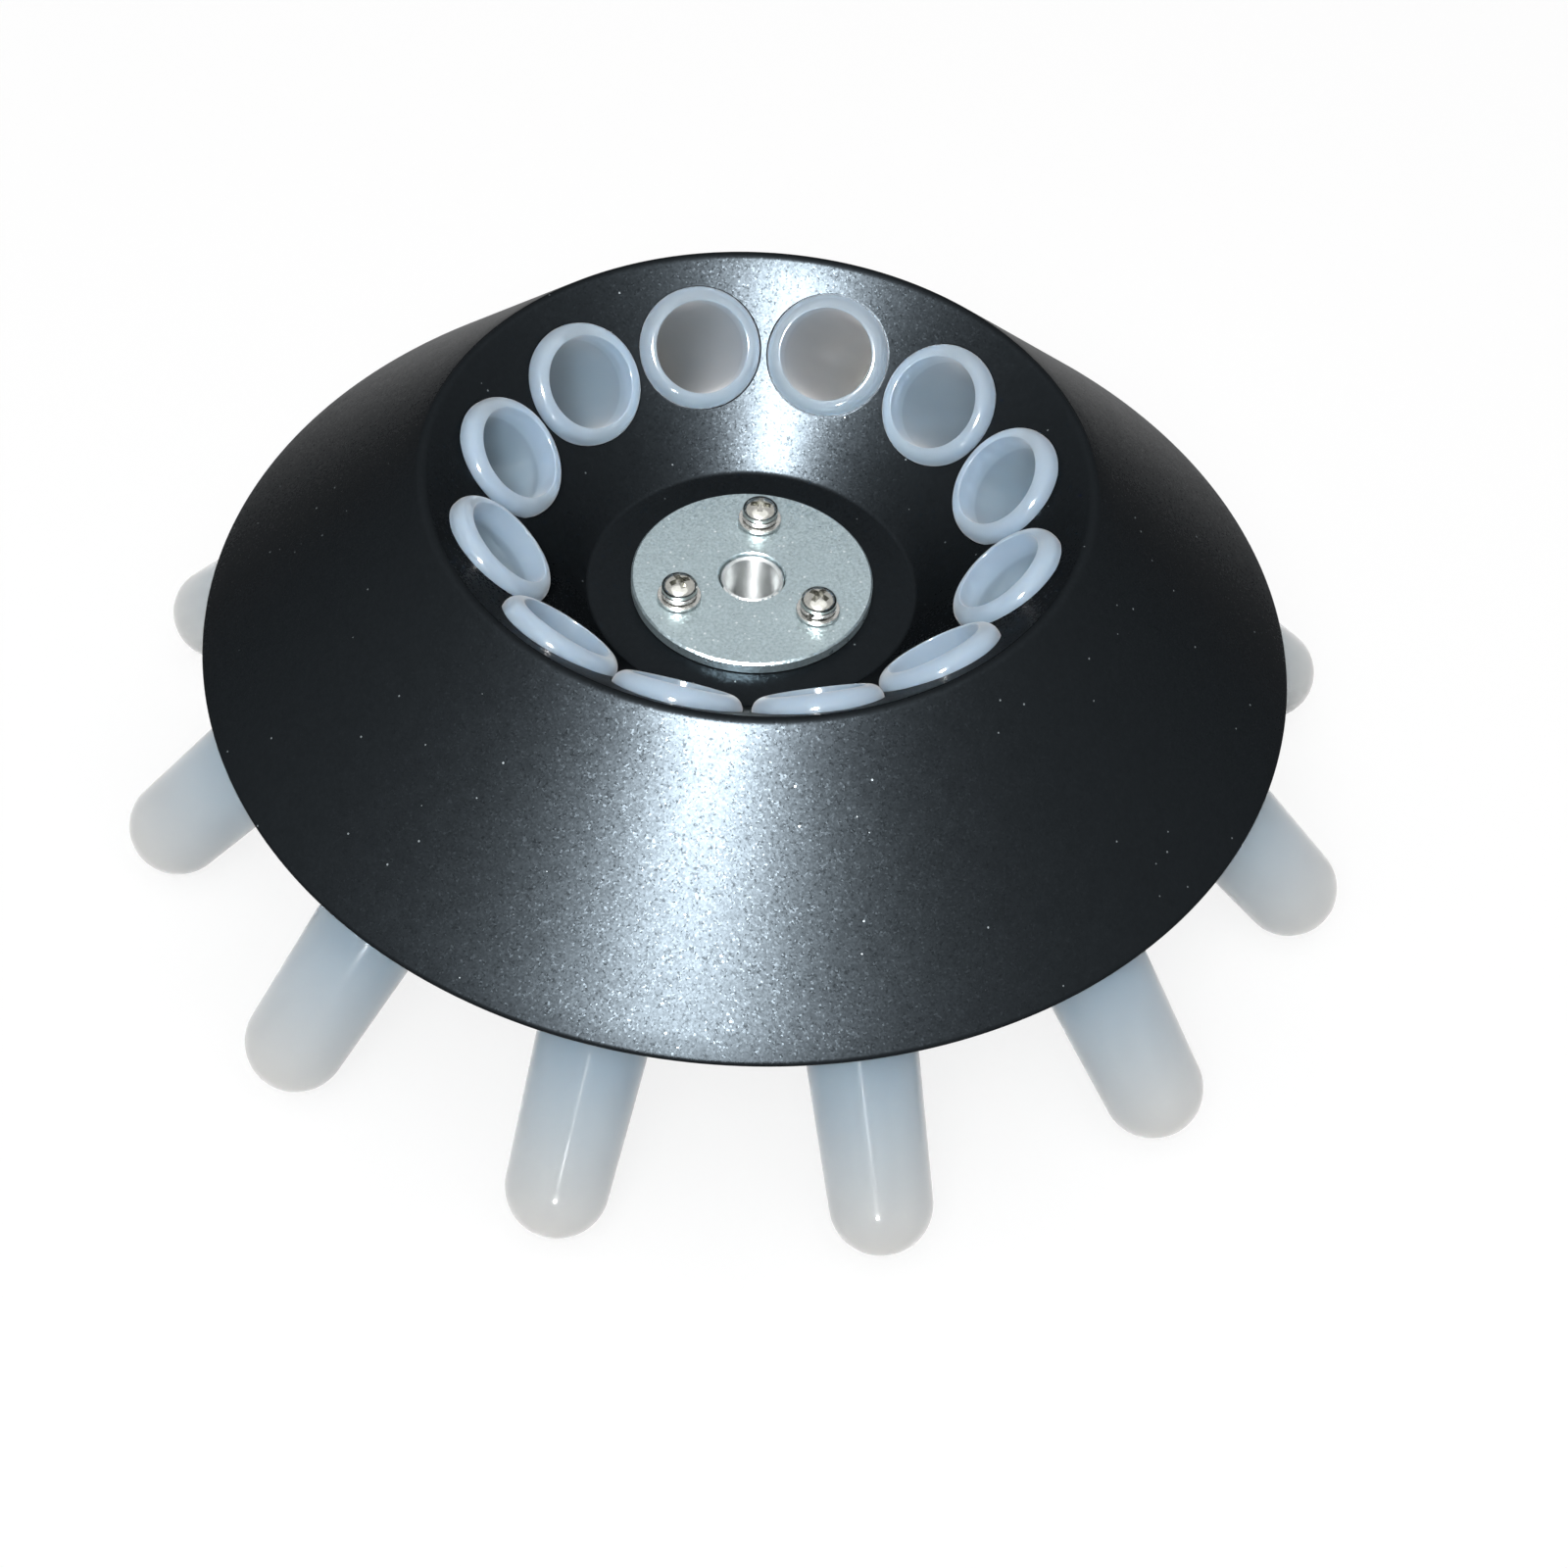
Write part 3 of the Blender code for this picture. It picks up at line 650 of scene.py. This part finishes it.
def make_screws():
    nickel = bright_metal("plated_screw", (0.42, 0.42, 0.39), 0.16, 900.0)
    head_top = HEAD_BASE + HEAD_HEIGHT
    dome_centre = Vector((0, HEAD_BASE + HEAD_SIDE_HEIGHT))
    dome_rise = Vector((0, HEAD_HEIGHT - HEAD_SIDE_HEIGHT))
    dome = arc(dome_centre, Vector((HEAD_RADIUS, 0)), dome_rise, DOME_STEPS)
    dome[-1].x = 0
    end = HEAD_BASE - SHANK_LENGTH
    outline = [(0, end), (SCREW_END_RADIUS, end)]
    for turn in range(int(SHANK_LENGTH * THREADED_SHARE / THREAD_PITCH)):
        height = end + SCREW_END_BEVEL + turn * THREAD_PITCH
        outline += [(THREAD_ROOT_RADIUS, height), (SHANK_RADIUS, height + THREAD_PITCH / 2)]
    outline += [(THREAD_ROOT_RADIUS, height + THREAD_PITCH), (THREAD_ROOT_RADIUS, HEAD_BASE)]
    outline += [(HEAD_RADIUS - HEAD_EDGE, HEAD_BASE), (HEAD_RADIUS, HEAD_BASE + HEAD_EDGE), *dome]
    for index in range(SCREW_COUNT):
        screw = turned(f"pan_head_screw_{index + 1}", outline, FASTENER_SEGMENTS)
        mesh = bmesh.new()
        add_recess(mesh, head_top - RECESS_DEPTH, head_top, head_top + CUT_OVERRUN)
        cut(screw, mesh)
        screw.matrix_world = screw_matrix(index)
        place(screw, "rotor", f"hub_screw_{index + 1}", nickel)


def make_flat_washers():
    steel = bright_metal("washer_steel", (0.48, 0.48, 0.46), 0.24, 900.0)
    inner = SCREW_HOLE_RADIUS
    outer = inner + FLAT_WASHER_BAND
    base = FLAT_WASHER_BASE
    top = base + FLAT_WASHER_THICKNESS
    corners = [Vector(point) for point in ((inner, base), (outer, base), (outer, top), (inner, top))]
    outline = [corners[0]]
    outline += rounded(corners[1], corners[0], corners[2], FLAT_WASHER_ROUND)
    outline += rounded(corners[2], corners[1], corners[3], FLAT_WASHER_ROUND)
    outline += [corners[3]]
    for index in range(SCREW_COUNT):
        washer = turned(f"plain_washer_{index + 1}", outline, FASTENER_SEGMENTS)
        washer.matrix_world = screw_matrix(index)
        place(washer, "rotor", f"flat_washer_{index + 1}", steel)


def spring_washer_mesh():
    """An open ring of square section whose ends are cut on a slant."""
    inner = SCREW_HOLE_RADIUS
    outer = inner + SPRING_WASHER_BAND
    base = SPRING_WASHER_BASE
    top = base + SPRING_WASHER_THICKNESS
    edge = SPRING_WASHER_THICKNESS / 6
    split = SPRING_WASHER_SPLIT / inner
    slant = SPRING_WASHER_THICKNESS / outer
    section = [(inner, base, 0), (outer - edge, base, 0), (outer, base + edge, slant / 6)]
    section += [(outer, top - edge, slant * 5 / 6), (outer - edge, top, slant), (inner, top, slant)]
    mesh = bmesh.new()
    rings = []
    for step in range(FASTENER_SEGMENTS + 1):
        angle = split / 2 + (math.tau - split) * step / FASTENER_SEGMENTS
        points = [(r * math.cos(angle + lead), r * math.sin(angle + lead), z) for r, z, lead in section]
        rings.append([mesh.verts.new(point) for point in points])
    for before, after in zip(rings, rings[1:]):
        for side in range(len(section)):
            following = (side + 1) % len(section)
            mesh.faces.new((before[side], before[following], after[following], after[side]))
    mesh.faces.new(rings[0])
    mesh.faces.new(rings[-1])
    return finish_mesh("spring_washer", mesh)


def make_spring_washers():
    steel = bright_metal("spring_steel", (0.42, 0.42, 0.41), 0.26, 900.0)
    for index in range(SCREW_COUNT):
        washer = link(f"split_washer_{index + 1}", spring_washer_mesh())
        washer.matrix_world = screw_matrix(index)
        place(washer, "rotor", f"spring_washer_{index + 1}", steel)


def outward(bearing, elevation):
    """The direction away from the object at a bearing and an elevation."""
    level = math.cos(elevation)
    return Vector((math.sin(bearing) * level, math.cos(bearing) * level, math.sin(elevation)))


def camera_axes(bearing):
    """The camera's right, down and forward directions, as rows, and its direction from the target."""
    back = outward(bearing, CAMERA_ELEVATION)
    right = Vector((0, 0, 1)).cross(back).normalized()
    up = back.cross(right)
    level = Matrix((right, -up, -back))
    roll = Matrix.Rotation(CAMERA_ROLL, 3, "Z")
    yaw = Matrix.Rotation(CAMERA_YAW, 3, "Y")
    pitch = Matrix.Rotation(CAMERA_PITCH, 3, "X")
    return pitch @ yaw @ roll @ level, back


def make_camera():
    rows, back = camera_axes(CAMERA_BEARING)
    data = bpy.data.cameras.new("camera")
    data.lens = FOCAL_PX / IMAGE_SIDE_PX * data.sensor_width
    camera = link("camera", data)
    turn = Matrix((rows[0], -rows[1], -rows[2])).transposed().to_4x4()
    target = Vector((0, 0, CAMERA_TARGET_HEIGHT))
    camera.matrix_world = Matrix.Translation(target + back * CAMERA_DISTANCE) @ turn
    bpy.context.scene.camera = camera


def seen_directly(tree):
    """A socket that is 1 for camera, glossy and transmission rays, and 0 for the rest."""
    path = tree.nodes.new("ShaderNodeLightPath")
    total = path.outputs["Is Camera Ray"]
    for kind in ("Is Glossy Ray", "Is Transmission Ray"):
        add = tree.nodes.new("ShaderNodeMath")
        add.operation = "MAXIMUM"
        tree.links.new(total, add.inputs[0])
        tree.links.new(path.outputs[kind], add.inputs[1])
        total = add.outputs[0]
    return total


# World and floor
WORLD_LEVEL = 0.34
BACKDROP_LEVEL = 1.0
FLOOR_GLOW = 1.04
FLOOR_GLOW_SHARE = 0.8
FLOOR_RADIUS = 4.0
FLOOR_DROP = 0.0002
FLOOR_SEGMENTS = 96


def make_world():
    world = bpy.data.worlds.new("studio")
    bpy.context.scene.world = world
    world.use_nodes = True
    tree = world.node_tree
    tree.nodes.clear()
    fill = tree.nodes.new("ShaderNodeBackground")
    fill.inputs["Strength"].default_value = WORLD_LEVEL
    shown = tree.nodes.new("ShaderNodeBackground")
    shown.inputs["Strength"].default_value = BACKDROP_LEVEL
    for background in (fill, shown):
        background.inputs["Color"].default_value = (1, 1, 1, 1)
    mix = tree.nodes.new("ShaderNodeMixShader")
    tree.links.new(seen_directly(tree), mix.inputs[0])
    tree.links.new(fill.outputs[0], mix.inputs[1])
    tree.links.new(shown.outputs[0], mix.inputs[2])
    output = tree.nodes.new("ShaderNodeOutputWorld")
    tree.links.new(mix.outputs[0], output.inputs[0])


def make_floor():
    """A round pale floor that glows white to the eye and still takes a soft shadow."""
    mesh = bmesh.new()
    bmesh.ops.create_circle(mesh, cap_ends=True, segments=FLOOR_SEGMENTS, radius=FLOOR_RADIUS)
    data = bpy.data.meshes.new("floor")
    mesh.to_mesh(data)
    mesh.free()
    floor = link("floor", data)
    floor.location.z = -FLOOR_DROP
    n = Nodes("floor_white")
    grain = n.mix(n.noise(60.0), (0.90, 0.90, 0.90, 1), (0.92, 0.92, 0.92, 1))
    diffuse = n.add("ShaderNodeBsdfDiffuse", {"Color": grain})
    glow = n.add("ShaderNodeEmission", {"Color": (1, 1, 1, 1), "Strength": FLOOR_GLOW})
    share = n.math("MULTIPLY", seen_directly(n.tree), FLOOR_GLOW_SHARE)
    mix = n.add("ShaderNodeMixShader", {0: share, 1: diffuse.outputs[0], 2: glow.outputs[0]})
    output = n.add("ShaderNodeOutputMaterial")
    n.tree.links.new(mix.outputs[0], output.inputs[0])
    data.materials.append(n.material)


def make_lamp(name, location, target, size, power, shape="DISK"):
    data = bpy.data.lights.new(name, "AREA")
    data.shape = shape
    data.size = size
    data.energy = power
    lamp = link(name, data)
    lamp.location = location
    lamp.rotation_mode = "QUATERNION"
    lamp.rotation_quaternion = (Vector(location) - target).to_track_quat("Z", "Y")
    lamp.visible_camera = False
    return lamp


# Lamps: a wide soft one overhead, a soft one from the camera's side, and three for highlights alone:
# a small one beside the soft one, and a strip and a dot lower down for the sleeves
OVERHEAD_PLACE = (0, -0.2, 1.3)
OVERHEAD_SIZE = 1.6
OVERHEAD_POWER = 8.0
FRONT_DISTANCE = 2.0
FRONT_ELEVATION = math.radians(47.5)
FRONT_BEARING = math.radians(190.0)
SOFT_SIZE = 1.0
SOFT_POWER = 16.0
GLINT_SIZE = 0.236
GLINT_POWER = 450.0
LOW_DISTANCE = 0.72
LOW_BEARING = math.radians(184.0)
STRIP_ELEVATION = math.radians(28.0)
STRIP_WIDTH = 0.02
STRIP_LENGTH = 0.18
STRIP_POWER = 0.2
DOT_ELEVATION = math.radians(14.0)
DOT_SIZE = 0.045
DOT_POWER = 5.0


def make_lamps():
    target = Vector((0, 0, CAMERA_TARGET_HEIGHT))
    make_lamp("overhead", OVERHEAD_PLACE, target, OVERHEAD_SIZE, OVERHEAD_POWER)
    front = target + outward(FRONT_BEARING, FRONT_ELEVATION) * FRONT_DISTANCE
    strip_place = target + outward(LOW_BEARING, STRIP_ELEVATION) * LOW_DISTANCE
    dot_place = target + outward(LOW_BEARING, DOT_ELEVATION) * LOW_DISTANCE
    make_lamp("soft_front", front, target, SOFT_SIZE, SOFT_POWER).visible_glossy = False
    make_lamp("glint", front, target, GLINT_SIZE, GLINT_POWER).visible_diffuse = False
    strip = make_lamp("strip", strip_place, target, STRIP_WIDTH, STRIP_POWER, "RECTANGLE")
    strip.data.size_y = STRIP_LENGTH
    strip.visible_diffuse = False
    make_lamp("dot", dot_place, target, DOT_SIZE, DOT_POWER).visible_diffuse = False


make_camera()
make_head()
make_hub()
make_plate()
make_flat_washers()
make_spring_washers()
make_screws()
make_sleeves()
make_world()
make_floor()
make_lamps()
bpy.context.scene.view_settings.view_transform = "Standard"
